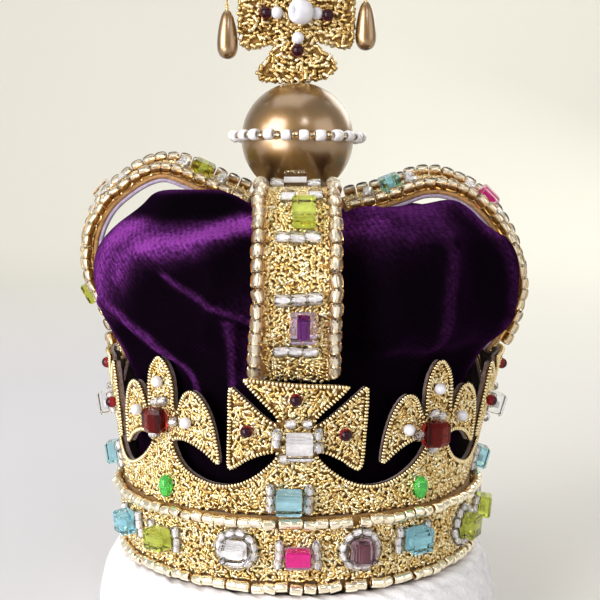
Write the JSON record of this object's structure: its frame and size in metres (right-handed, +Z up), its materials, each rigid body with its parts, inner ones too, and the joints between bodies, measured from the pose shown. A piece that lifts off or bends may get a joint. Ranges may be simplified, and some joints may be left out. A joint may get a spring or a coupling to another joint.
{
  "type": "miniature coronation crown",
  "caption": "Miniature coronation crown: white base roll, jewelled gold band, crosses and lilies, beaded arches over a purple velvet cap, pearl monde and cross with drops.",
  "frame": {"origin": "middle of the whole outline, on the surface that the crown stands on", "axes": "+Z up towards the cross, the front faces -Y, +X to the viewer's right"},
  "size_m": [0.0831, 0.0821, 0.1232],
  "materials": {
    "velvet": "deep purple silk velvet",
    "plush": "short white plush",
    "gold_chips": "gold wire chips on felt",
    "gold_beads": "silver-lined amber glass",
    "white_beads": "lustred white glass",
    "bronze_pearl": "bronze pearl lustre",
    "gem_pink": "cut glass",
    "gem_amethyst": "cut glass",
    "gem_aqua": "cut glass",
    "gem_peridot": "cut glass",
    "gem_clear": "silver-lined clear glass",
    "gem_teal": "cut glass",
    "gem_garnet": "cut glass"
  },
  "bodies": {
    "root": {"velvet_cap": "velvet", "ermine_band": "plush", "circlet_band": "gold_chips", "cresting": "gold_chips", "arch_front_back": "gold_chips", "arch_left": "gold_chips", "arch_right": "gold_chips", "top_cross": "gold_chips", "band_beads_lower": "gold_beads", "band_beads_upper": "gold_beads", "beads_front_back_left": "gold_beads", "beads_front_back_right": "gold_beads", "beads_left_back": "gold_beads", "beads_left_front": "gold_beads", "beads_right_back": "gold_beads", "beads_right_front": "gold_beads", "monde_beads": "white_beads", "cross_pearl": "white_beads", "monde": "bronze_pearl", "drop_left": "bronze_pearl", "drop_right": "bronze_pearl", "gem_band_01": "gem_pink", "gem_band_10": "gem_pink", "gem_arch_right_mid": "gem_pink", "gem_band_02": "gem_amethyst", "gem_band_11": "gem_amethyst", "gem_arch_front_low": "gem_amethyst", "gem_arch_back_top": "gem_amethyst", "gem_band_03": "gem_aqua", "gem_band_07": "gem_aqua", "gem_band_12": "gem_aqua", "gem_band_14": "gem_aqua", "gem_arch_right_top": "gem_aqua", "gem_band_04": "gem_peridot", "gem_band_05": "gem_peridot", "gem_band_08": "gem_peridot", "gem_band_13": "gem_peridot", "gem_band_15": "gem_peridot", "gem_arch_front_top": "gem_peridot", "gem_arch_left_low": "gem_peridot", "gem_arch_left_top": "gem_peridot", "gem_band_06": "gem_clear", "gem_band_09": "gem_clear", "gem_band_16": "gem_clear", "gem_cross_front": "gem_clear", "gem_cross_right": "gem_clear", "gem_cross_back": "gem_clear", "gem_cross_left": "gem_clear", "gem_arch_front_crest": "gem_clear", "gem_arch_left_mid": "gem_clear", "gem_teal_front": "gem_teal", "gem_teal_right": "gem_teal", "gem_teal_back": "gem_teal", "gem_teal_left": "gem_teal", "gem_arch_back_low": "gem_teal", "gem_lily_front_right": "gem_garnet", "gem_lily_back_right": "gem_garnet", "gem_lily_back_left": "gem_garnet", "gem_lily_front_left": "gem_garnet"}
  },
  "joints": []
}
